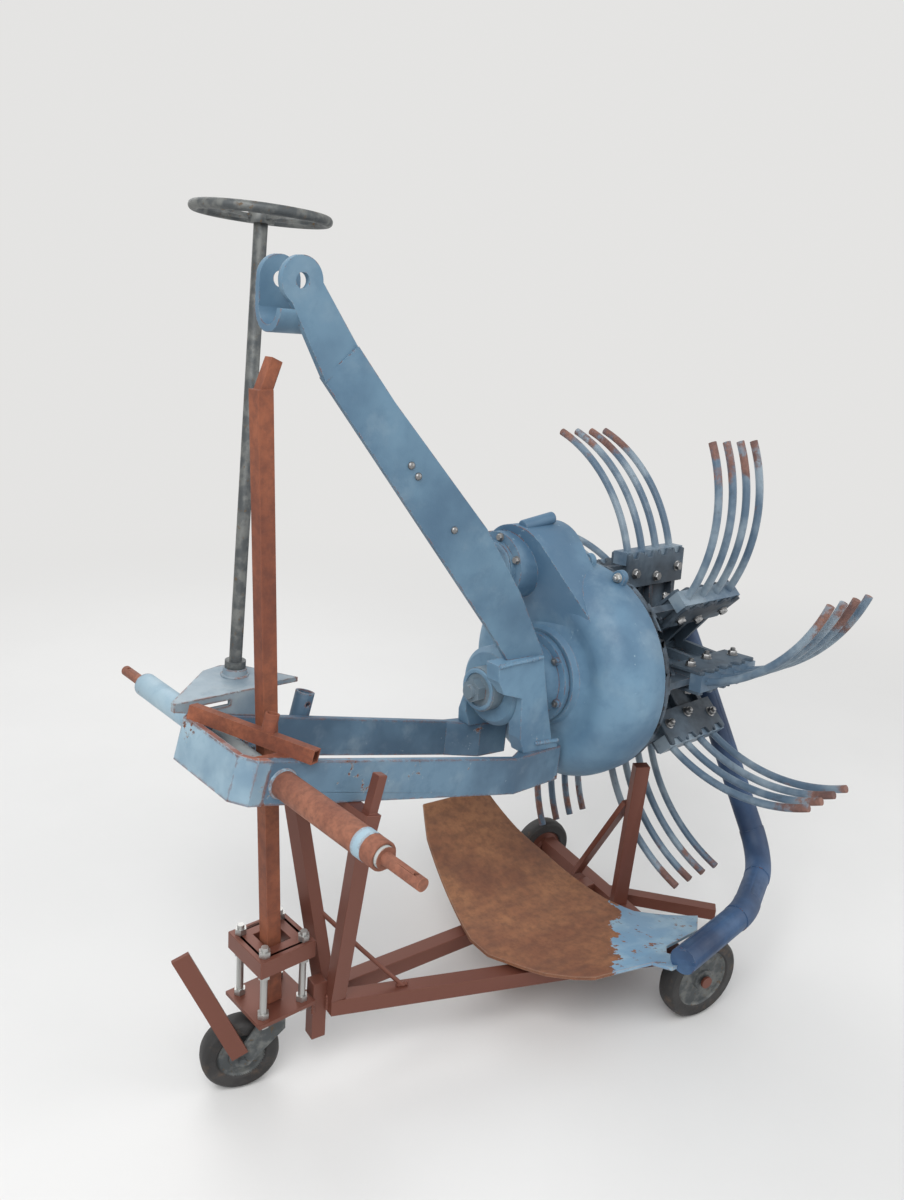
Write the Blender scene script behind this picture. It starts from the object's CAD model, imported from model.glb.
"""Spinner potato digger on its small trolley: finishes, fittings, light and camera."""
from __future__ import annotations

import logging
import math
import random
from collections.abc import Callable
from dataclasses import dataclass
from enum import Enum

import bmesh
import bpy
from mathutils import Matrix, Vector


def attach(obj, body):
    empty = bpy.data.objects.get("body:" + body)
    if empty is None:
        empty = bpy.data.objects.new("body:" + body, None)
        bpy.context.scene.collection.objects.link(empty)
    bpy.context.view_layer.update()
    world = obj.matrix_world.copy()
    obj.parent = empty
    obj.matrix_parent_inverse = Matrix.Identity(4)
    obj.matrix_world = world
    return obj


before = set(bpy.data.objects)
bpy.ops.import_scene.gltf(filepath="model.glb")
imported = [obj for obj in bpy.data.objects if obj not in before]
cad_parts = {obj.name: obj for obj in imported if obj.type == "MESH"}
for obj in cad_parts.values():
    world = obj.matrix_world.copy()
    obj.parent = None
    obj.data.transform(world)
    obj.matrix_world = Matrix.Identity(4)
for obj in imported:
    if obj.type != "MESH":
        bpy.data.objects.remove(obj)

log = logging.getLogger("potato_digger")

Colour = tuple[float, float, float]
Point = tuple[float, float, float]
Outline = tuple[tuple[float, float], ...]
Socket = bpy.types.NodeSocket


def srgb(r: int, g: int, b: int) -> Colour:
    """Turns a colour of 0 to 255 on each channel into a linear one.

    Args:
        r: Red.
        g: Green.
        b: Blue.

    Returns:
        The linear colour.
    """
    def one(v: int) -> float:
        """Linear value of one channel."""
        c = v / 255.0
        return c / 12.92 if c <= 0.04045 else ((c + 0.055) / 1.055) ** 2.4

    return (one(r), one(g), one(b))


EDGE_GAIN = 7.0


class Graph:
    """The node tree of one material, with short calls for its usual pieces."""

    def __init__(self, name: str) -> None:
        """Starts a material.

        Args:
            name: The material's name.
        """
        self.material = bpy.data.materials.new(name)
        self.material.use_nodes = True
        self.tree = self.material.node_tree
        self.shader = self.tree.nodes["Principled BSDF"]
        self.place = self.tree.nodes.new("ShaderNodeTexCoord").outputs["Object"]

    def node(self, kind: str, **settings: object) -> bpy.types.Node:
        """Adds a node with its settings.

        Args:
            kind: The node's type name.
            settings: Attributes set on the node.

        Returns:
            The new node.
        """
        made = self.tree.nodes.new(kind)
        for key, value in settings.items():
            setattr(made, key, value)
        return made

    def feed(self, value: object, socket: Socket) -> None:
        """Links a socket, or sets a plain value, into an input.

        Args:
            value: A socket, a number or a colour.
            socket: The input.
        """
        if isinstance(value, bpy.types.NodeSocket):
            self.tree.links.new(value, socket)
        elif isinstance(value, tuple) and len(value) == 3 and socket.type == "RGBA":
            socket.default_value = (*value, 1.0)
        else:
            socket.default_value = value

    def noise(self, scale: float, detail: float = 4.0, rough: float = 0.55,
              stretch: Point = (1.0, 1.0, 1.0), shift: float = 0.0) -> Socket:
        """Cloudy noise on the object's own coordinates.

        Args:
            scale: Waves per metre, about.
            detail: Octaves.
            rough: Weight of the finer octaves.
            stretch: Factor on each axis before the noise.
            shift: Offset that makes one noise differ from another.

        Returns:
            The noise value, 0 to 1.
        """
        mapping = self.node("ShaderNodeMapping")
        mapping.inputs["Scale"].default_value = stretch
        mapping.inputs["Location"].default_value = (shift, shift * 0.7, -shift)
        self.feed(self.place, mapping.inputs["Vector"])
        made = self.node("ShaderNodeTexNoise")
        made.inputs["Scale"].default_value = scale
        made.inputs["Detail"].default_value = detail
        made.inputs["Roughness"].default_value = rough
        self.feed(mapping.outputs["Vector"], made.inputs["Vector"])
        return made.outputs["Fac"]

    def span(self, value: Socket, low: float, high: float, out_low: float = 0.0,
             out_high: float = 1.0) -> Socket:
        """Maps a value range onto another, clamped.

        Args:
            value: The value.
            low: Value that gives out_low.
            high: Value that gives out_high.
            out_low: First result.
            out_high: Last result.

        Returns:
            The mapped value.
        """
        made = self.node("ShaderNodeMapRange", clamp=True, interpolation_type="SMOOTHSTEP")
        self.feed(value, made.inputs["Value"])
        limits = {"From Min": low, "From Max": high, "To Min": out_low, "To Max": out_high}
        for name, number in limits.items():
            made.inputs[name].default_value = number
        return made.outputs["Result"]

    def calc(self, what: str, a: object, b: object = 0.0) -> Socket:
        """One clamped step of arithmetic.

        Args:
            what: Math node operation.
            a: First value.
            b: Second value.

        Returns:
            The result.
        """
        made = self.node("ShaderNodeMath", operation=what, use_clamp=True)
        self.feed(a, made.inputs[0])
        self.feed(b, made.inputs[1])
        return made.outputs[0]

    def blend(self, amount: object, a: object, b: object) -> Socket:
        """Mixes two colours.

        Args:
            amount: 0 gives a, 1 gives b.
            a: First colour.
            b: Second colour.

        Returns:
            The mixed colour.
        """
        made = self.node("ShaderNodeMix", data_type="RGBA")
        self.feed(amount, made.inputs["Factor"])
        self.feed(a, made.inputs[6])
        self.feed(b, made.inputs[7])
        return made.outputs[2]

    def edges(self, radius: float) -> Socket:
        """Mask of the object's outer edges.

        Args:
            radius: Reach from the edge, in metres.

        Returns:
            0 on flats, up to 1 on edges.
        """
        bevel = self.node("ShaderNodeBevel", samples=4)
        bevel.inputs["Radius"].default_value = radius
        geometry = self.node("ShaderNodeNewGeometry")
        dot = self.node("ShaderNodeVectorMath", operation="DOT_PRODUCT")
        self.feed(bevel.outputs["Normal"], dot.inputs[0])
        self.feed(geometry.outputs["Normal"], dot.inputs[1])
        off = self.calc("SUBTRACT", 1.0, dot.outputs["Value"])
        return self.calc("MULTIPLY", off, EDGE_GAIN)

    def axis_value(self, direction: Point) -> Socket:
        """Distance along a direction from the origin.

        Args:
            direction: Direction, with its length as the factor.

        Returns:
            The dot product, not clamped.
        """
        made = self.node("ShaderNodeVectorMath", operation="DOT_PRODUCT")
        self.feed(self.place, made.inputs[0])
        made.inputs[1].default_value = direction
        return made.outputs["Value"]

    def radius_from(self, centre: Vector, axis: Vector) -> Socket:
        """Distance of the surface point from an axis.

        Args:
            centre: A point of the axis.
            axis: The axis, of unit length.

        Returns:
            The distance in metres.
        """
        off = self.node("ShaderNodeVectorMath", operation="SUBTRACT")
        self.feed(self.place, off.inputs[0])
        off.inputs[1].default_value = centre
        side = self.node("ShaderNodeVectorMath", operation="CROSS_PRODUCT")
        self.feed(off.outputs["Vector"], side.inputs[0])
        side.inputs[1].default_value = axis
        size = self.node("ShaderNodeVectorMath", operation="LENGTH")
        self.feed(side.outputs["Vector"], size.inputs[0])
        return size.outputs["Value"]

    def relief(self, height: Socket, depth: float, before: Socket | None = None) -> Socket:
        """Bump from a height.

        Args:
            height: Height, 0 to 1.
            depth: Height in metres at 1.
            before: Normal to build on.

        Returns:
            The bumped normal.
        """
        made = self.node("ShaderNodeBump")
        made.inputs["Strength"].default_value = 1.0
        made.inputs["Distance"].default_value = depth
        self.feed(height, made.inputs["Height"])
        if before is not None:
            self.feed(before, made.inputs["Normal"])
        return made.outputs["Normal"]

    def finish(self, colour: Socket, rough: Socket, normal: Socket,
               metal: object = 0.0) -> bpy.types.Material:
        """Connects the shader.

        Args:
            colour: Base colour.
            rough: Roughness.
            normal: Normal.
            metal: Metallic value.

        Returns:
            The finished material.
        """
        self.feed(colour, self.shader.inputs["Base Color"])
        self.feed(rough, self.shader.inputs["Roughness"])
        self.feed(normal, self.shader.inputs["Normal"])
        self.feed(metal, self.shader.inputs["Metallic"])
        return self.material


RUST_LIGHT = srgb(150, 88, 58)
RUST_MID = srgb(112, 64, 46)
RUST_DARK = srgb(66, 40, 34)


def rust_colour(g: Graph, scale: float = 30.0, light: Colour = RUST_LIGHT,
                mid: Colour = RUST_MID, dark: Colour = RUST_DARK) -> Socket:
    """Patchy rust in three browns.

    Args:
        g: The material's graph.
        scale: Patches per metre, about.
        light: Fresh rust.
        mid: Middle tone.
        dark: Old rust.

    Returns:
        The colour.
    """
    broad = g.span(g.noise(scale * 0.35, 5.0, shift=3.1), 0.38, 0.66)
    fine = g.span(g.noise(scale * 3.0, 6.0, 0.7, shift=7.7), 0.35, 0.7)
    first = g.blend(broad, mid, light)
    return g.blend(g.calc("MULTIPLY", fine, 0.55), first, dark)


@dataclass(frozen=True)
class WeatheredPaint:
    """Old enamel with cloudy fading, grime, pale chips and rust that starts at the edges."""

    name: str
    base: Colour
    shade: Colour
    pale: Colour
    chips: float = 0.5
    rust: float = 0.4
    edge: float = 0.004
    grain: float = 1.0
    rough: float = 0.52

    def make(self) -> bpy.types.Material:
        """Builds the material.

        Returns:
            The material.
        """
        g = Graph(self.name)
        cloud = g.span(g.noise(4.5 * self.grain, 4.0), 0.36, 0.64)
        colour = g.blend(cloud, self.shade, self.base)
        grime = g.span(g.noise(26.0 * self.grain, 6.0, 0.65, shift=1.7), 0.46, 0.74)
        colour = g.blend(g.calc("MULTIPLY", grime, 0.35), colour, self.shade)
        dust = g.span(g.noise(11.0 * self.grain, 5.0, 0.6, shift=5.3), 0.5, 0.75)
        colour = g.blend(g.calc("MULTIPLY", dust, 0.28), colour, self.pale)
        edge = g.edges(self.edge)
        rag = g.noise(70.0 * self.grain, 7.0, 0.7, shift=2.2)
        worn = g.calc("ADD", rag, g.calc("MULTIPLY", edge, 0.26))
        big = g.noise(9.0 * self.grain, 3.0, shift=9.4)
        worn = g.calc("ADD", worn, g.calc("MULTIPLY", g.span(big, 0.5, 0.72), 0.08 + 0.08 * self.chips))
        chip_at = 0.80 - 0.10 * self.chips
        chip = g.span(worn, chip_at, chip_at + 0.02)
        deep_at = 0.86 - 0.12 * self.rust
        deep = g.span(worn, deep_at, deep_at + 0.02)
        colour = g.blend(g.calc("MULTIPLY", chip, 0.85), colour, self.pale)
        colour = g.blend(deep, colour, rust_colour(g, 40.0))
        skin = g.noise(220.0, 3.0, 0.5)
        level = g.calc("SUBTRACT", g.calc("ADD", 0.5, g.calc("MULTIPLY", skin, 0.12)),
                       g.calc("ADD", g.calc("MULTIPLY", chip, 0.14), g.calc("MULTIPLY", deep, 0.2)))
        rough = g.calc("ADD", g.calc("MULTIPLY", grime, 0.14),
                       g.calc("ADD", g.calc("MULTIPLY", deep, 0.3), self.rough))
        return g.finish(colour, rough, g.relief(level, 0.0016))


@dataclass(frozen=True)
class RustySteel:
    """Bare or once-primed steel, rusted all over, with a cast of one colour."""

    name: str
    light: Colour
    mid: Colour
    dark: Colour
    pits: float = 0.5
    rough: float = 0.78
    scale: float = 30.0

    def make(self) -> bpy.types.Material:
        """Builds the material.

        Returns:
            The material.
        """
        g = Graph(self.name)
        colour = rust_colour(g, self.scale, self.light, self.mid, self.dark)
        edge = g.edges(0.003)
        colour = g.blend(g.calc("MULTIPLY", edge, 0.5), colour, self.light)
        stain = g.span(g.noise(7.0, 4.0, shift=4.4), 0.52, 0.72)
        colour = g.blend(g.calc("MULTIPLY", stain, 0.5), colour, self.dark)
        pits = g.noise(150.0, 5.0, 0.65, shift=6.0)
        level = g.calc("ADD", g.calc("MULTIPLY", pits, self.pits),
                       g.calc("MULTIPLY", g.noise(35.0, 3.0), 0.3))
        rough = g.calc("ADD", g.calc("MULTIPLY", pits, 0.2), self.rough - 0.1)
        return g.finish(colour, rough, g.relief(level, 0.0012))


@dataclass(frozen=True)
class SharePlate:
    """Soil-polished rust with the blue paint left along the near end, its border ragged."""

    name: str
    blue: Colour
    pale: Colour
    start: float
    direction: Point

    def make(self) -> bpy.types.Material:
        """Builds the material.

        Returns:
            The material.
        """
        g = Graph(self.name)
        rust = rust_colour(g, 16.0, srgb(158, 108, 74), srgb(128, 82, 58), srgb(84, 54, 42))
        streak = g.span(g.noise(16.0, 5.0, 0.6, (0.5, 2.4, 1.0), 2.0), 0.42, 0.7)
        rust = g.blend(g.calc("MULTIPLY", streak, 0.35), rust, srgb(96, 66, 52))
        along = g.axis_value(self.direction)
        ragged = g.node("ShaderNodeMath", operation="ADD")
        g.feed(along, ragged.inputs[0])
        wobble = g.node("ShaderNodeMath", operation="MULTIPLY")
        g.feed(g.noise(20.0, 7.0, 0.62, shift=1.3), wobble.inputs[0])
        wobble.inputs[1].default_value = 0.16
        g.feed(wobble.outputs[0], ragged.inputs[1])
        left = g.span(ragged.outputs[0], self.start, self.start + 0.004)
        scrape = g.span(g.noise(60.0, 7.0, 0.7, (1.0, 0.5, 1.0), 8.0), 0.60, 0.63)
        left = g.calc("MULTIPLY", left, g.calc("SUBTRACT", 1.0, scrape))
        paint = g.blend(g.span(g.noise(12.0, 4.0), 0.4, 0.66), self.blue, self.pale)
        colour = g.blend(left, rust, paint)
        bright = g.calc("MULTIPLY", g.edges(0.004), 0.6)
        colour = g.blend(bright, colour, srgb(170, 140, 118))
        level = g.calc("ADD", g.calc("MULTIPLY", g.noise(130.0, 5.0, 0.65), 0.4),
                       g.calc("MULTIPLY", left, 0.3))
        rough = g.calc("SUBTRACT", 0.74, g.calc("MULTIPLY", left, 0.2))
        return g.finish(colour, rough, g.relief(level, 0.0011))


@dataclass(frozen=True)
class TineSteel:
    """Blue paint worn thin on round steel, redder toward the tips."""

    name: str
    centre: Vector
    axis: Vector
    inner: float
    outer: float

    def make(self) -> bpy.types.Material:
        """Builds the material.

        Returns:
            The material.
        """
        g = Graph(self.name)
        paint = g.blend(g.span(g.noise(9.0, 4.0), 0.4, 0.64), srgb(84, 106, 126), srgb(134, 150, 162))
        rust = rust_colour(g, 40.0, srgb(146, 106, 92), srgb(112, 82, 76), srgb(74, 58, 58))
        radius = g.radius_from(self.centre, self.axis)
        reach = g.span(radius, self.inner, self.outer, -0.16, 0.30)
        rag = g.node("ShaderNodeMath", operation="ADD")
        g.feed(reach, rag.inputs[0])
        g.feed(g.noise(13.0, 6.0, 0.65, shift=2.5), rag.inputs[1])
        mask = g.span(rag.outputs[0], 0.54, 0.66)
        colour = g.blend(mask, paint, rust)
        grime = g.span(g.noise(50.0, 5.0, 0.7, shift=4.0), 0.52, 0.75)
        colour = g.blend(g.calc("MULTIPLY", grime, 0.4), colour, srgb(58, 64, 72))
        rough = g.span(mask, 0.0, 1.0, 0.46, 0.74)
        return g.finish(colour, rough, g.relief(g.noise(170.0, 5.0, 0.65), 0.0008))


@dataclass(frozen=True)
class PlainMetal:
    """Zinc or bare steel, dulled and a little stained."""

    name: str
    bright: Colour
    dull: Colour
    stain: Colour
    stained: float = 0.3
    metal: float = 0.75
    rough: float = 0.42

    def make(self) -> bpy.types.Material:
        """Builds the material.

        Returns:
            The material.
        """
        g = Graph(self.name)
        colour = g.blend(g.span(g.noise(40.0, 5.0), 0.4, 0.64), self.dull, self.bright)
        low = 0.68 - 0.2 * self.stained
        spots = g.span(g.noise(75.0, 6.0, 0.7, shift=3.0), low, low + 0.08)
        colour = g.blend(g.calc("MULTIPLY", spots, 0.9), colour, self.stain)
        rough = g.calc("ADD", g.calc("MULTIPLY", spots, 0.35), self.rough)
        metal = g.span(spots, 0.0, 1.0, self.metal, 0.1)
        return g.finish(colour, rough, g.relief(g.noise(190.0, 4.0), 0.0005), metal)


@dataclass(frozen=True)
class DustyRubber:
    """Black rubber with dry earth in its low spots."""

    name: str
    black: Colour
    earth: Colour
    dirt: float = 0.5

    def make(self) -> bpy.types.Material:
        """Builds the material.

        Returns:
            The material.
        """
        g = Graph(self.name)
        worn = tuple(v * 1.9 for v in self.black)
        grey = g.blend(g.span(g.noise(14.0, 4.0), 0.4, 0.65), self.black, worn)
        low = 0.62 - 0.2 * self.dirt
        dirt = g.span(g.noise(32.0, 6.0, 0.65, shift=2.0), low, low + 0.24)
        colour = g.blend(g.calc("MULTIPLY", dirt, 0.6), grey, self.earth)
        rough = g.calc("ADD", g.calc("MULTIPLY", dirt, 0.2), 0.62)
        return g.finish(colour, rough, g.relief(g.noise(120.0, 5.0, 0.6), 0.0009))


class Finish(Enum):
    """Every finish on the machine, by the place it covers."""

    ARM_BLUE = WeatheredPaint("arm_blue", srgb(98, 130, 152), srgb(74, 104, 128),
                              srgb(142, 162, 174), 0.45, 0.5)
    CAST_BLUE = WeatheredPaint("cast_blue", srgb(108, 142, 166), srgb(78, 110, 136),
                               srgb(148, 172, 186), 0.7, 0.6)
    RAIL_BLUE = WeatheredPaint("rail_blue", srgb(100, 130, 152), srgb(70, 96, 118),
                               srgb(168, 184, 192), 1.1, 1.2, 0.009)
    TRAY_BLUE = WeatheredPaint("tray_blue", srgb(156, 182, 196), srgb(112, 140, 160),
                               srgb(186, 202, 208), 1.2, 1.3, 0.010)
    SHELF_BLUE = WeatheredPaint("shelf_blue", srgb(144, 160, 170), srgb(110, 128, 142),
                                srgb(178, 182, 180), 0.9, 0.95, 0.008)
    SHAFT_WHITE = WeatheredPaint("shaft_white", srgb(178, 182, 180), srgb(140, 148, 152),
                                 srgb(196, 196, 190), 0.8, 1.9, 0.004)
    GRIMY_IRON = WeatheredPaint("grimy_iron", srgb(84, 100, 114), srgb(50, 60, 70),
                                srgb(118, 130, 138), 0.35, 0.25, 0.003, 1.6, 0.6)
    DEEP_BLUE = WeatheredPaint("deep_blue", srgb(52, 84, 122), srgb(34, 54, 84),
                               srgb(86, 118, 148), 0.2, 0.3)
    CLEVIS_GREY = WeatheredPaint("clevis_grey", srgb(112, 130, 142), srgb(84, 98, 108),
                                 srgb(150, 160, 164), 0.2, 0.2)
    SLEEVE_RUST = RustySteel("sleeve_rust", srgb(164, 108, 84), srgb(134, 84, 66), srgb(92, 58, 48))
    RIM_RUST = WeatheredPaint("rim_rust", srgb(150, 98, 84), srgb(118, 70, 60),
                              srgb(176, 196, 204), 1.6, 0.4, 0.003, 1.8, 0.7)
    BAR_RUST = RustySteel("bar_rust", srgb(156, 92, 64), srgb(126, 70, 50), srgb(84, 48, 38), 0.35)
    RED_PRIMER = RustySteel("red_primer", srgb(122, 60, 40), srgb(88, 44, 32),
                            srgb(50, 28, 24), 0.35, 0.7, 18.0)
    MAST_BROWN = RustySteel("mast_brown", srgb(152, 90, 62), srgb(122, 68, 48),
                            srgb(82, 46, 38), 0.35, 0.74, 14.0)
    ZINC = PlainMetal("zinc", srgb(176, 178, 176), srgb(134, 138, 140), srgb(108, 84, 66), 0.3)
    BARE_STEEL = PlainMetal("bare_steel", srgb(140, 140, 136), srgb(100, 100, 98),
                            srgb(92, 66, 52), 0.75, 0.55, 0.5)
    WHEEL_IRON = PlainMetal("wheel_iron", srgb(112, 114, 112), srgb(76, 80, 82),
                            srgb(100, 82, 62), 0.45, 0.35, 0.55)
    TYRE = DustyRubber("tyre", srgb(38, 37, 37), srgb(106, 88, 74))

    def material(self) -> bpy.types.Material:
        """Gives the finish's material, made on first use.

        Returns:
            The material.
        """
        found = bpy.data.materials.get(self.value.name)
        return found or self.value.make()


# Places and sizes from here on are in millimetres, as the solids are measured
ORIGIN_X = 610.5
CROSS_SHAFT_Z = 728.0
GEAR_Z = 20.0


def turn_about(axis: str, degrees: float) -> Matrix:
    """Turn about one axis.

    Args:
        axis: X, Y or Z.
        degrees: Angle.

    Returns:
        The turn.
    """
    return Matrix.Rotation(math.radians(degrees), 4, axis)


def shift(x: float, y: float, z: float) -> Matrix:
    """Move by x, y and z."""
    return Matrix.Translation((x, y, z))


def circle(radius: float, count: int, height: float = 0.0) -> list[Vector]:
    """Points of a level circle about the origin.

    Args:
        radius: Its radius.
        count: Number of points.
        height: Its height.

    Returns:
        The points.
    """
    return [Vector((radius * math.cos(math.tau * i / count), radius * math.sin(math.tau * i / count), height))
            for i in range(count)]


SMOOTH_ANGLE = math.radians(40.0)
BEVEL_ANGLE = math.radians(38.0)
WELD_GAP = 0.00002
MILLI = Matrix.Scale(0.001, 4)
DIGGER = MILLI @ shift(-ORIGIN_X, 0, CROSS_SHAFT_Z) @ turn_about("Y", 1.0)
RAILS = DIGGER @ turn_about("Y", 13.5)
AXIS = DIGGER @ shift(0, 0, GEAR_Z)
SPINDLE = DIGGER @ shift(82, 190, 30) @ turn_about("Y", 1.7)
TROLLEY = MILLI @ shift(983 - ORIGIN_X, -173, 0) @ turn_about("Z", -8.3)
SWIVEL = TROLLEY @ shift(-937, 29, 0) @ turn_about("Z", 8.3)
FORK = SWIVEL @ turn_about("Z", -20)
AXLE = TROLLEY @ shift(0, -253, 0) @ turn_about("Z", -4.45)


class Shape:
    """A mesh under construction, in millimetres of one of the places above."""

    def __init__(self, place: Matrix = MILLI) -> None:
        """Starts an empty mesh.

        Args:
            place: Turns the mesh's millimetres into the row frame's metres.
        """
        self.bm = bmesh.new()
        self.place = place

    def add(self, points: list[Vector], faces: list[tuple[int, ...]]) -> None:
        """Adds points and the faces between them.

        Args:
            points: The points.
            faces: Indices into the points.
        """
        made = [self.bm.verts.new(p) for p in points]
        for face in faces:
            self.bm.faces.new([made[i] for i in face])

    def loft(self, rings: list[list[Vector]], closed: bool = False) -> None:
        """Skins rings of equal length.

        Args:
            rings: The rings, each a closed loop.
            closed: True where the last ring joins the first; otherwise both ends are capped.
        """
        n = len(rings[0])
        points = [p for ring in rings for p in ring]
        faces: list[tuple[int, ...]] = []
        last = len(rings) if closed else len(rings) - 1
        for i in range(last):
            a, b = i * n, ((i + 1) % len(rings)) * n
            faces += [(a + j, a + (j + 1) % n, b + (j + 1) % n, b + j) for j in range(n)]
        if not closed:
            faces += [tuple(range(n - 1, -1, -1)), tuple(range((len(rings) - 1) * n, len(rings) * n))]
        self.add(points, faces)

    def prism(self, outline: Outline | list[tuple[float, float]], low: float, high: float,
              place: Matrix = Matrix()) -> None:
        """Straight prism of a flat outline.

        Args:
            outline: Corners in x and y.
            low: Lower z.
            high: Upper z.
            place: Where the prism stands.
        """
        self.loft([[place @ Vector((x, y, z)) for x, y in outline] for z in (low, high)])

    def lathe(self, profile: list[tuple[float, float]], place: Matrix, sides: int) -> None:
        """Turned form about local Z from radius and height pairs, closed into a solid ring.

        Args:
            profile: Closed loop of radius and height.
            place: Where the form stands.
            sides: Steps round.
        """
        rings = []
        for i in range(sides):
            a = math.tau * i / sides
            rings.append([place @ Vector((r * math.cos(a), r * math.sin(a), z)) for r, z in profile])
        self.loft(rings, closed=True)

    def bolt(self, foot: Point, axis: Point, across: float, height: float, stud: float = 0.0,
             washer: bool = True) -> None:
        """Chamfered hexagon head or nut with a washer and, if asked, the stud's end.

        Args:
            foot: Middle of the seat.
            axis: Outward direction.
            across: Width over the flats.
            height: Height of the hexagon.
            stud: Length of stud over the nut, 0 for a head.
            washer: True to set it on a washer.
        """
        z = Vector(axis).normalized()
        place = shift(*foot) @ z.to_track_quat("Z", "Y").to_matrix().to_4x4()

        def stack(levels: Outline, count: int) -> None:
            """Skins circles given as radius and height."""
            self.loft([[place @ p for p in circle(radius, count, level)] for radius, level in levels])

        base = 0.0
        if washer:
            base = across * 0.12
            r = across * 0.68
            stack(((r, 0), (r, base * 0.8), (r * 0.95, base)), 20)
        corner = across / math.sqrt(3)
        top = base + height
        stack(((corner, base), (corner, base + height * 0.8), (corner * 0.86, top)), 6)
        if stud:
            r = across * 0.32
            stack(((r, top - 1), (r, top + stud - r * 0.2), (r * 0.75, top + stud)), 12)

    def tube(self, points: list[Vector], radius: float | list[float], sides: int = 12,
             rough: float = 0.0, seed: int = 1) -> None:
        """Round rod along points, or a lumpy weld bead if rough is set.

        Args:
            points: The middle line.
            radius: Radius, one or per point.
            sides: Steps round.
            rough: Share of the radius that varies.
            seed: Seed of the variation.
        """
        dice = random.Random(seed)
        rings: list[list[Vector]] = []
        normal = None
        for i, p in enumerate(points):
            ahead = (points[min(i + 1, len(points) - 1)] - points[max(i - 1, 0)]).normalized()
            if normal is None:
                normal = ahead.orthogonal().normalized()
            normal = (normal - normal.dot(ahead) * ahead).normalized()
            other = ahead.cross(normal)
            r = radius[i] if isinstance(radius, list) else radius
            r *= 1 + rough * (dice.random() - 0.5)
            rings.append([p + q.x * normal + q.y * other for q in circle(r, sides)])
        self.loft(rings)

    def bead(self, a: Point, b: Point, radius: float, seed: int) -> None:
        """Weld bead of ripples between two points.

        Args:
            a: Start.
            b: End.
            radius: Radius of the bead.
            seed: Seed of its ripples.
        """
        start, end = Vector(a), Vector(b)
        n = max(4, int((end - start).length / 2.2))
        points = [start.lerp(end, i / n) for i in range(n + 1)]
        ends = [0.55 if i in (0, n) else 1.0 + 0.14 * math.sin(i * 1.9) for i in range(n + 1)]
        self.tube(points, [radius * e for e in ends], 8, 0.25, seed)

    def ring_bead(self, place: Matrix, radius: float, count: int, size: float, seed: int) -> None:
        """Weld bead that runs once round a circle.

        Args:
            place: Where the circle lies.
            radius: Radius of the circle.
            count: Steps round.
            size: Least radius of the bead.
            seed: Seed of its ripples.
        """
        points = [place @ p for p in circle(radius, count)]
        points.append(points[0])
        dice = random.Random(seed)
        self.tube(points, [size + 1.2 * dice.random() for _ in points], 8)

    def piece(self, name: str, finish: Finish, body: str, bevel: float = 0.0) -> None:
        """Turns the mesh into a piece of the machine.

        Args:
            name: Its name.
            finish: Its finish.
            body: The body it rides on.
            bevel: Width of its rounded edges in millimetres.
        """
        bmesh.ops.recalc_face_normals(self.bm, faces=self.bm.faces)
        self.bm.transform(self.place)
        for face in self.bm.faces:
            face.smooth = True
        for edge in self.bm.edges:
            edge.smooth = len(edge.link_faces) == 2 and edge.calc_face_angle(0.0) < SMOOTH_ANGLE
        mesh = bpy.data.meshes.new(name)
        self.bm.to_mesh(mesh)
        self.bm.free()
        obj = bpy.data.objects.new(name, mesh)
        bpy.context.scene.collection.objects.link(obj)
        mesh.materials.append(finish.material())
        if bevel:
            add_bevel(obj, bevel)
        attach(obj, body)
        log.info("piece %s on %s", name, body)


def add_bevel(obj: bpy.types.Object, width: float) -> None:
    """Rounds the sharp edges of a piece.

    Args:
        obj: The piece.
        width: Width in millimetres.
    """
    made = obj.modifiers.new("edges", "BEVEL")
    made.width = width / 1000
    made.segments = 2
    made.limit_method = "ANGLE"
    made.angle_limit = BEVEL_ANGLE
    made.harden_normals = True
    made.use_clamp_overlap = True


def dress(node: str, finish: Finish | bpy.types.Material, bevel: float = 1.5) -> bpy.types.Object:
    """Gives a solid its finish and soft edges.

    Args:
        node: The solid's name.
        finish: Its finish, or a ready material.
        bevel: Width of its rounded edges in millimetres, 0 for none.

    Returns:
        The solid's object.
    """
    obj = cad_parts[node]
    obj.data.materials.clear()
    obj.data.materials.append(finish.material() if isinstance(finish, Finish) else finish)
    weld = obj.modifiers.new("weld", "WELD")
    weld.merge_threshold = WELD_GAP
    if bevel:
        add_bevel(obj, bevel)
    log.info("dressed %s", node)
    return obj


def repaint(obj: bpy.types.Object, finish: Finish, place: Matrix,
            inside: Callable[[Vector], bool]) -> None:
    """Gives some faces of a solid another finish.

    Args:
        obj: The solid.
        finish: The finish of those faces.
        place: The place whose millimetres the test is in.
        inside: Tells from the face's middle if it is one of them.
    """
    obj.data.materials.append(finish.material())
    index = len(obj.data.materials) - 1
    back = place.inverted()
    for face in obj.data.polygons:
        if inside(back @ face.center):
            face.material_index = index


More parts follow.
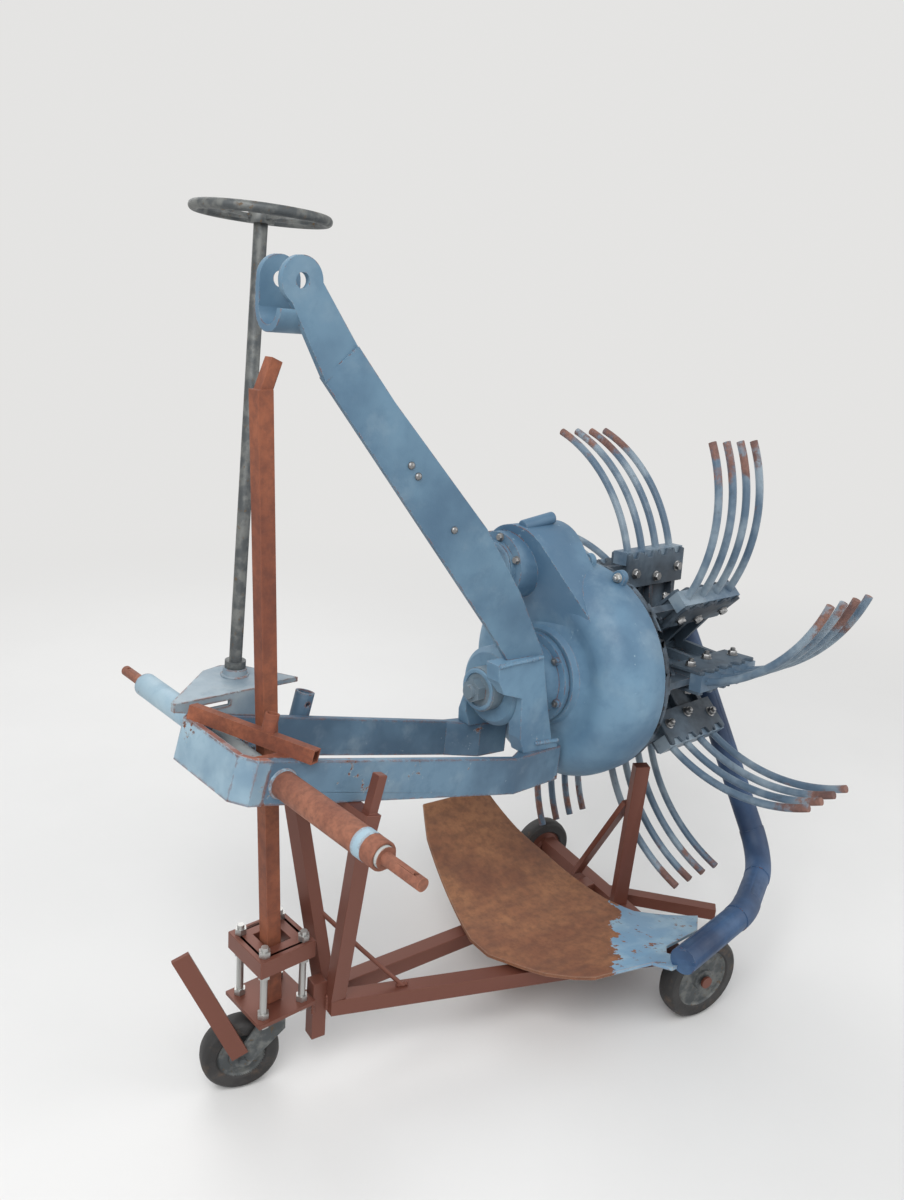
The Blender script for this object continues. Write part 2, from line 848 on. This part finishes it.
@dataclass
class Studio:
    """Pale floor, soft lamps and the camera at the photograph's place."""

    eye: Point = (-0.86225 - ORIGIN_X / 1000, -1.43766, 1.55)
    turn: Point = (73.1416, -4.3451, -41.6403)
    lens: float = 30.0
    film: float = 36.0
    floor_half: float = 30.0
    floor_colour: Colour = (0.78, 0.775, 0.765)
    fade: tuple[float, float] = (1.3, 4.5)
    sky: float = 0.55
    lamps: tuple[tuple[str, Point, float, float, float], ...] = (
        ("key", (-2.6, -1.6, 3.6), 2.6, 120.0, 0.7),
        ("fill", (2.8, -2.8, 2.6), 3.0, 45.0, 0.6),
        ("back", (0.6, 3.4, 3.2), 3.0, 60.0, 0.7))

    def camera(self) -> None:
        """Sets the camera."""
        data = bpy.data.cameras.new("camera")
        data.lens = self.lens
        data.sensor_width = self.film
        camera = bpy.data.objects.new("camera", data)
        camera.location = self.eye
        camera.rotation_euler = [math.radians(v) for v in self.turn]
        bpy.context.scene.collection.objects.link(camera)
        bpy.context.scene.camera = camera

    def lamp(self, name: str, place: Vector, size: float, power: float, aim: Vector) -> None:
        """Adds a square lamp.

        Args:
            name: Its name.
            place: Where it hangs.
            size: Its side.
            power: Watts.
            aim: Point it faces.
        """
        data = bpy.data.lights.new(name, "AREA")
        data.shape = "SQUARE"
        data.size = size
        data.energy = power
        lamp = bpy.data.objects.new(name, data)
        lamp.location = place
        lamp.rotation_euler = (aim - place).to_track_quat("-Z", "Y").to_euler()
        bpy.context.scene.collection.objects.link(lamp)

    def floor(self) -> None:
        """Lays the pale floor."""
        shape = bmesh.new()
        h = self.floor_half
        shape.faces.new([shape.verts.new(p) for p in ((-h, -h, 0), (h, -h, 0), (h, h, 0), (-h, h, 0))])
        mesh = bpy.data.meshes.new("floor")
        shape.to_mesh(mesh)
        shape.free()
        floor = bpy.data.objects.new("floor", mesh)
        bpy.context.scene.collection.objects.link(floor)
        g = Graph("floor")
        fine = g.noise(60.0, 5.0, 0.6)
        dusty = tuple(v * 0.98 for v in self.floor_colour)
        colour = g.blend(g.span(g.noise(1.5, 4.0), 0.35, 0.65), dusty, self.floor_colour)
        material = g.finish(colour, g.span(fine, 0.0, 1.0, 0.75, 0.95), g.relief(fine, 0.0003))
        far = g.span(g.radius_from(Vector((0, 0, 0)), Vector((0, 0, 1))), *self.fade)
        path = g.node("ShaderNodeLightPath")
        seen = g.calc("MAXIMUM", path.outputs["Is Camera Ray"], path.outputs["Is Glossy Ray"])
        glow = g.node("ShaderNodeEmission")
        glow.inputs["Color"].default_value = (*self.floor_colour, 1.0)
        glow.inputs["Strength"].default_value = 1.0
        mix = g.node("ShaderNodeMixShader")
        g.feed(g.calc("MULTIPLY", seen, far), mix.inputs["Fac"])
        g.feed(g.shader.outputs[0], mix.inputs[1])
        g.feed(glow.outputs[0], mix.inputs[2])
        g.feed(mix.outputs[0], g.tree.nodes["Material Output"].inputs["Surface"])
        floor.data.materials.append(material)

    def world(self) -> None:
        """Fills the surroundings with even light that the camera sees as near white."""
        world = bpy.data.worlds.new("world")
        bpy.context.scene.world = world
        world.use_nodes = True
        nodes, links = world.node_tree.nodes, world.node_tree.links
        light = nodes["Background"]
        light.inputs["Color"].default_value = (0.97, 0.985, 1.0, 1.0)
        light.inputs["Strength"].default_value = self.sky
        seen = nodes.new("ShaderNodeBackground")
        seen.inputs["Color"].default_value = (*self.floor_colour, 1.0)
        seen.inputs["Strength"].default_value = 1.0
        path = nodes.new("ShaderNodeLightPath")
        most = nodes.new("ShaderNodeMath")
        most.operation = "MAXIMUM"
        links.new(path.outputs["Is Camera Ray"], most.inputs[0])
        links.new(path.outputs["Is Glossy Ray"], most.inputs[1])
        mix = nodes.new("ShaderNodeMixShader")
        links.new(most.outputs[0], mix.inputs["Fac"])
        links.new(light.outputs[0], mix.inputs[1])
        links.new(seen.outputs[0], mix.inputs[2])
        links.new(mix.outputs[0], nodes["World Output"].inputs["Surface"])

    def build(self) -> None:
        """Sets up the whole studio."""
        bpy.context.scene.view_settings.view_transform = "Standard"
        self.camera()
        self.floor()
        self.world()
        for name, place, size, power, height in self.lamps:
            self.lamp(name, Vector(place), size, power, Vector((0, 0, height)))


@dataclass
class Hitch:
    """Tray-like front casting, rails, cross shaft with its sleeve, and the slanting clamp bar."""

    shoulder: float = 411.0
    rail_face: float = 122.5
    rail_bead: float = 25.2
    wall_z: float = 40.4
    rim_top: float = 41.7
    flange_top: float = 42.2
    band: tuple[float, float] = (-375.0, -352.0)
    rim_outer: Outline = ((-34, -121), (-60, -121), (-85, -96), (-85, 96), (-60, 121), (-34, 121))
    rim_inner: Outline = ((-34, -107), (-53, -107), (-71, -89), (-71, 89), (-53, 107), (-34, 107))
    flange: Outline = ((-69, -106), (-34, -106), (-34, -105), (27, -105), (27, -76))

    def build(self) -> None:
        """Dresses the hitch and adds its beads, its rusted rim and the band on the sleeve."""
        dress("hitch_block", Finish.TRAY_BLUE, 2.5)
        for node in ("near_rail", "far_rail"):
            dress(node, Finish.RAIL_BLUE, 2.5)
        shaft = dress("cross_shaft", Finish.SHAFT_WHITE, 1.5)
        repaint(shaft, Finish.SLEEVE_RUST, DIGGER, lambda p: abs(p.y) > self.shoulder - 1)
        dress("shaft_sleeve", Finish.SLEEVE_RUST, 2.0)
        dress("far_sleeve", Finish.TRAY_BLUE, 1.5)
        dress("clamp_bar", Finish.BAR_RUST, 2.0)
        dress("socket_tube", Finish.RAIL_BLUE, 1.5)
        dress("spindle_box", Finish.SHELF_BLUE, 2.0)
        self.collars()
        self.rims()

    def collars(self) -> None:
        """Welded rings where the shaft passes the rails, and the pale band left on the sleeve."""
        band = Shape(DIGGER)
        near, far = self.band
        band.lathe([(24.4, near), (25.5, near), (25.5, far), (24.4, far)], turn_about("X", -90), 60)
        band.piece("sleeve_band", Finish.TRAY_BLUE, "frame")
        shape = Shape(DIGGER)
        for y, seed in ((-self.rail_face, 778), (self.rail_face, 1022)):
            shape.ring_bead(shift(0, y, 0) @ turn_about("X", 90), self.rail_bead, 40, 3.2, seed)
        shape.piece("shaft_welds", Finish.TRAY_BLUE, "frame")

    def rims(self) -> None:
        """Rusted top of the tray's walls, and the orange three-cornered flange."""
        rim = Shape(RAILS)
        outer, inner = self.rim_outer, self.rim_inner
        for i in range(len(outer) - 1):
            rim.prism([outer[i], outer[i + 1], inner[i + 1], inner[i]], self.wall_z, self.rim_top)
        rim.piece("tray_rim", Finish.RIM_RUST, "frame", 0.5)
        flange = Shape(RAILS)
        flange.prism(self.flange, self.wall_z, self.flange_top)
        flange.piece("tray_flange", Finish.BAR_RUST, "frame", 0.6)


@dataclass
class DepthWheel:
    """Spindle, hand wheel and the bead round the spindle's guide."""

    guide_r: float = 24.5
    guide_z: float = 50.5

    def build(self) -> None:
        """Dresses both and adds the guide's bead."""
        dress("wheel_spindle", Finish.WHEEL_IRON, 1.0)
        dress("hand_wheel", Finish.WHEEL_IRON, 1.0)
        shape = Shape(SPINDLE)
        shape.ring_bead(shift(0, 0, self.guide_z), self.guide_r, 36, 2.8, 5)
        shape.piece("guide_weld", Finish.SHELF_BLUE, "frame")


@dataclass
class TopArm:
    """Plate arm up to the clevis."""

    top: Point = (137.0, -35.0, 700.0)
    foot: Point = (619.0, -88.0, 118.0)
    half: float = 6.0
    rivets: Outline = ((0.30, 8.0), (0.335, 8.0), (0.52, 12.0))
    rivet_r: float = 7.5

    def build(self) -> None:
        """Dresses the arm and adds its rivets."""
        dress("top_arm", Finish.ARM_BLUE, 2.5)
        a, b = Vector(self.top), Vector(self.foot)
        along = (b - a).normalized()
        side = along.cross(Vector((0, 0, 1))).normalized()
        if side.y > 0:
            side = -side
        down = side.cross(along)
        turn = side.to_track_quat("Z", "Y").to_matrix().to_4x4()
        r = self.rivet_r
        head = [(0.01, -2), (r, -2), (r, 1), (r * 0.85, 3.4), (r * 0.5, 5.2), (0.01, 5.8)]
        shape = Shape(DIGGER)
        for share, off in self.rivets:
            foot = a.lerp(b, share) + down * off + side * self.half
            shape.lathe(head, shift(*foot) @ turn, 20)
        shape.piece("arm_rivets", Finish.BARE_STEEL, "frame")


@dataclass
class Gearbox:
    """Barrel, legs, fixed axle and the bell-shaped gear housing."""

    flange_x: float = 729.3
    head_r: float = 96.0
    cover_x: float = 690.0
    cover_r: float = 69.0
    cover_at: tuple[float, float] = (98.0, 242.0)
    nose_x: float = 575.0
    rim_x: float = 884.0
    ear_r: float = 17.0
    ear_half: float = 8.0
    ears: Outline = ((-104.0, 246.0), (-8.0, 262.0))

    def build(self) -> None:
        """Dresses the gearbox and adds its bolts, small castings and beads."""
        dress("gear_case", Finish.CAST_BLUE, 3.0)
        for node in ("near_leg", "far_leg"):
            dress(node, Finish.CAST_BLUE, 4.0)
        dress("fixed_axle", Finish.CLEVIS_GREY, 2.0)
        dress("gear_bell", Finish.CAST_BLUE, 3.0)
        self.bolts()
        self.castings()
        self.welds()

    def bolts(self) -> None:
        """Bolts of the flange and of the pinion cover, and the rusty stub rod."""
        forward = (-1, 0, 0)
        shape = Shape(AXIS)
        for k in range(6):
            a = math.radians(20 + 60 * k)
            head = (self.flange_x, self.head_r * math.cos(a), self.head_r * math.sin(a))
            shape.bolt(head, forward, 15.0, 2.6, 3.0, washer=False)
        y, z = self.cover_at
        for k in (0, 1, 2, 4):
            a = math.radians(35 + 60 * k)
            head = (self.cover_x, y + self.cover_r * math.cos(a), z + self.cover_r * math.sin(a))
            shape.bolt(head, forward, 14.0, 7.0)
        shape.piece("gear_bolts", Finish.BARE_STEEL, "frame")
        rod = Shape(AXIS)
        line = ((684, y + 14, z + 20), (672, y + 14, z + 20), (640, y + 15, z + 18))
        rod.tube([Vector(p) for p in line], 6.5, 14, 0.05, 3)
        rod.piece("stub_rod", Finish.BAR_RUST, "frame")

    def castings(self) -> None:
        """Rings on the nose and the cover, the long boss, and the two eared lugs on the bell's rim."""
        shape = Shape(AXIS)
        nose = shift(self.nose_x, 0, 0) @ turn_about("Y", -90)
        shape.lathe([(36.0, -0.5), (47.0, -0.5), (47.0, 2.0), (44.5, 4.0), (37.5, 4.0)], nose, 48)
        cover = shift(self.cover_x - 10, *self.cover_at) @ turn_about("Y", -90)
        shape.lathe([(46.0, -0.5), (57.0, -0.5), (57.0, 1.6), (55.0, 3.2), (47.5, 3.2)], cover, 48)
        shape.lathe([(0.01, -0.5), (17, -0.5), (17, 5), (14, 8), (0.01, 8)], cover, 32)
        boss = shift(728, 66, 338) @ turn_about("Y", 82)
        shape.lathe([(0.01, 0), (12, 0), (14, 2), (14, 96), (0.01, 96)], boss, 28)
        crosswise = Matrix(((0, 0, 1, 0), (1, 0, 0, 0), (0, 1, 0, 0), (0, 0, 0, 1)))
        r = self.ear_r
        for y, z in self.ears:
            out = math.hypot(y, z)
            turn = turn_about("X", math.degrees(math.atan2(-y, z)))
            arc = [math.radians(t) for t in range(0, 181, 15)]
            outline = [(-r, out - 40), (r, out - 40)]
            outline += [(r * math.cos(t), out + r * math.sin(t)) for t in arc]
            shape.prism(outline, -self.ear_half, self.ear_half, shift(self.rim_x, 0, 0) @ turn @ crosswise)
        shape.piece("gear_castings", Finish.CAST_BLUE, "frame", 1.5)
        nuts = Shape(AXIS)
        for y, z in self.ears:
            nuts.bolt((self.rim_x - self.ear_half, y, z), (-1, 0, 0), 17.0, 8.0, 5.0)
        nuts.piece("ear_bolts", Finish.ZINC, "frame")

    def welds(self) -> None:
        """Weld beads at the near leg, under the arm's foot and over the rail."""
        shape = Shape(DIGGER)
        runs = (((524, -106.5, 116), (654, -106.5, 116)), ((660, -107, -86), (736, -107, -95)))
        for i, (a, b) in enumerate(runs):
            shape.bead(a, b, 4.5, i + 2)
        shape.piece("leg_welds", Finish.CAST_BLUE, "frame")


@dataclass
class Spinner:
    """Hub with its ribbed brackets, and eight clamped groups of tines."""

    groups: int = 8
    rows: int = 4
    row_x: float = 1056.0
    pitch: float = 56.0
    clamp_r: float = 258.0
    wall: float = 19.4
    face: float = 28.0
    plate_in: float = 82.0
    plate_out: float = 5.0
    overhang: float = 27.0
    notch: float = 15.0
    phase: float = 48.4
    paint_m: tuple[float, float] = (0.36, 0.72)
    rib_lines: tuple[Outline, ...] = (((960, 70), (1150, 205)), ((1150, 70), (1000, 205)))
    rib_y: float = 10.0
    rib_half: float = 5.0

    def build(self) -> None:
        """Dresses the spinner and adds its clamp plates and ribs."""
        dress("spinner_hub", Finish.GRIMY_IRON, 3.0)
        centre = AXIS @ Vector((1000, 0, 0))
        axis = (AXIS @ Vector((2000, 0, 0)) - centre).normalized()
        steel = TineSteel("tine_steel", centre, axis, *self.paint_m).make()
        for g in range(self.groups):
            dress(f"tines_{g + 1}", steel, 1.2)
        self.clamps()
        self.ribs()

    def turn(self, group: int) -> Matrix:
        """Turn of a group about the axle; its clamp then lies along local -Y."""
        return turn_about("X", -(self.phase + 360 / self.groups * group))

    def plate_outline(self) -> list[tuple[float, float]]:
        """Outline of a clamp plate in x and radial distance, notched at each tine.

        Returns:
            The corners.
        """
        low, high = self.clamp_r - self.plate_in, self.clamp_r + self.plate_out
        first = self.row_x - self.overhang
        last = self.row_x + (self.rows - 1) * self.pitch + self.overhang
        corners = [(first, low), (last, low), (last, high - 4)]
        for i in reversed(range(self.rows)):
            x = self.row_x + i * self.pitch
            floor = high - self.notch
            corners += [(x + 15, high), (x + 9, floor), (x - 9, floor), (x - 15, high)]
            if i:
                corners += [(x - 22, high - 9), (x - 28, high - 2)]
        return corners + [(first, high - 4)]

    def clamps(self) -> None:
        """Notched clamp plates with their bolts, one pair for each group of tines."""
        plates, bolts = Shape(AXIS), Shape(AXIS)
        for g in range(self.groups):
            turn = self.turn(g)
            flat = turn @ turn_about("X", 180)
            for low, high in ((self.wall, self.face), (-self.face, -self.wall)):
                plates.prism(self.plate_outline(), low, high, flat)
            for i, radial in ((0, -46), (3, -42), (1.5, -60)):
                x = self.row_x + i * self.pitch
                for side in (-1, 1):
                    foot = turn @ Vector((x, -(self.clamp_r + radial), self.face * side))
                    axis = turn.to_3x3() @ Vector((0, 0, side))
                    bolts.bolt(tuple(foot), tuple(axis), 19.0, 9.0, 7.0 if side > 0 else 0.0)
        plates.piece("clamp_plates", Finish.GRIMY_IRON, "spinner", 2.0)
        bolts.piece("clamp_bolts", Finish.BARE_STEEL, "spinner")

    def ribs(self) -> None:
        """Diagonal ribs on the brackets between hub and clamps."""
        h = self.rib_half
        section = ((-h, -h), (h, -h), (h, h), (-h, h))
        shape = Shape(AXIS)
        for g in range(self.groups):
            turn = self.turn(g)
            for side in (-1, 1):
                for (x0, r0), (x1, r1) in self.rib_lines:
                    start, end = Vector((x0, -r0, self.rib_y * side)), Vector((x1, -r1, self.rib_y * side))
                    along = (end - start).normalized()
                    over, up = Vector((-along.y, along.x, 0)), Vector((0, 0, 1))
                    shape.loft([[turn @ (p + over * u + up * v) for u, v in section] for p in (start, end)])
        shape.piece("bracket_ribs", Finish.GRIMY_IRON, "spinner", 2.0)


@dataclass
class SharePlough:
    """Dished share under the spinner and the bent tube that carries it."""

    def build(self) -> None:
        """Dresses share and arm."""
        plate = SharePlate("share_plate", srgb(120, 156, 184), srgb(150, 180, 198), 0.42, (0.6, -0.8, 0))
        dress("share", plate.make(), 1.5)
        dress("share_arm", Finish.DEEP_BLUE, 0.0)


@dataclass
class Trolley:
    """Home-made trolley of square tube on three small wheels."""

    bars: tuple[str, ...] = (
        "collar_ring", "caster_plate", "junction_post", "near_bar", "far_bar", "near_upright",
        "far_upright", "saddle_bar", "axle_beam", "rear_post", "tail_bar")
    track: float = 645.0
    trail: float = 60.0
    near_r: float = 100.0
    far_r: float = 80.0
    front_r: float = 78.0
    tread: float = 31.0
    lever_y: float = -33.05
    lever_z: float = 92.0
    rod: tuple[Point, ...] = ((-826, 58, 342), (-752, 4, 258), (-676, -50, 176))

    def build(self) -> None:
        """Dresses the trolley and its wheels and adds the welds and the thin brace rod."""
        for node in self.bars:
            dress(node, Finish.RED_PRIMER, 2.0)
        dress("mast", Finish.MAST_BROWN, 2.0)
        dress("threaded_rods", Finish.ZINC, 0.8)
        fork = dress("caster_fork", Finish.WHEEL_IRON, 1.2)
        repaint(fork, Finish.RED_PRIMER, FORK, lambda p: p.y < self.lever_y and p.z > self.lever_z)
        self.wheel("front_wheel", Finish.WHEEL_IRON, FORK @ shift(-self.trail, 0, self.front_r), self.front_r)
        self.wheel("near_wheel", Finish.WHEEL_IRON, AXLE @ shift(0, 0, self.near_r), self.near_r)
        self.wheel("far_wheel", Finish.RED_PRIMER, AXLE @ shift(0, self.track, self.far_r), self.far_r)
        self.welds()
        self.brace()

    def wheel(self, node: str, disc: Finish, place: Matrix, radius: float) -> None:
        """Dresses a wheel: rubber outside, another finish on its disc.

        Args:
            node: The wheel's name.
            disc: Finish of the disc.
            place: The wheel's middle, its axle along Y.
            radius: Radius of the wheel.
        """
        wheel = dress(node, Finish.TYRE, 1.5)
        repaint(wheel, disc, place, lambda p: math.hypot(p.x, p.z) < radius - self.tread)

    def welds(self) -> None:
        """Weld beads where the side bars meet the junction post."""
        shape = Shape(TROLLEY)
        runs = ((-866, -18, 156, 190), (-866, 14, 156, 190), (-835, -19, 154, 191), (-834, 15, 154, 191))
        for i, (x, y, low, high) in enumerate(runs):
            shape.bead((x, y, low), (x, y, high), 3.6, i + 11)
        shape.piece("trolley_welds", Finish.RED_PRIMER, "frame")

    def brace(self) -> None:
        """Thin rod from the far upright down to the near side bar, with the bead at its foot."""
        shape = Shape(TROLLEY)
        shape.tube([Vector(p) for p in self.rod], 5.0, 12, 0.04, 9)
        shape.bead((-690, -46, 179), (-664, -50, 177), 5.5, 4)
        shape.piece("brace_rod", Finish.RED_PRIMER, "frame")


def main() -> None:
    """Builds the studio and then each part of the machine in order."""
    logging.basicConfig(level=logging.INFO, format="%(name)s %(message)s")
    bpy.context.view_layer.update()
    machine = (Studio(), Hitch(), DepthWheel(), TopArm(), Gearbox(), Spinner(), SharePlough(), Trolley())
    for part in machine:
        log.info("building %s", type(part).__name__)
        part.build()


if __name__ == "__main__":
    main()
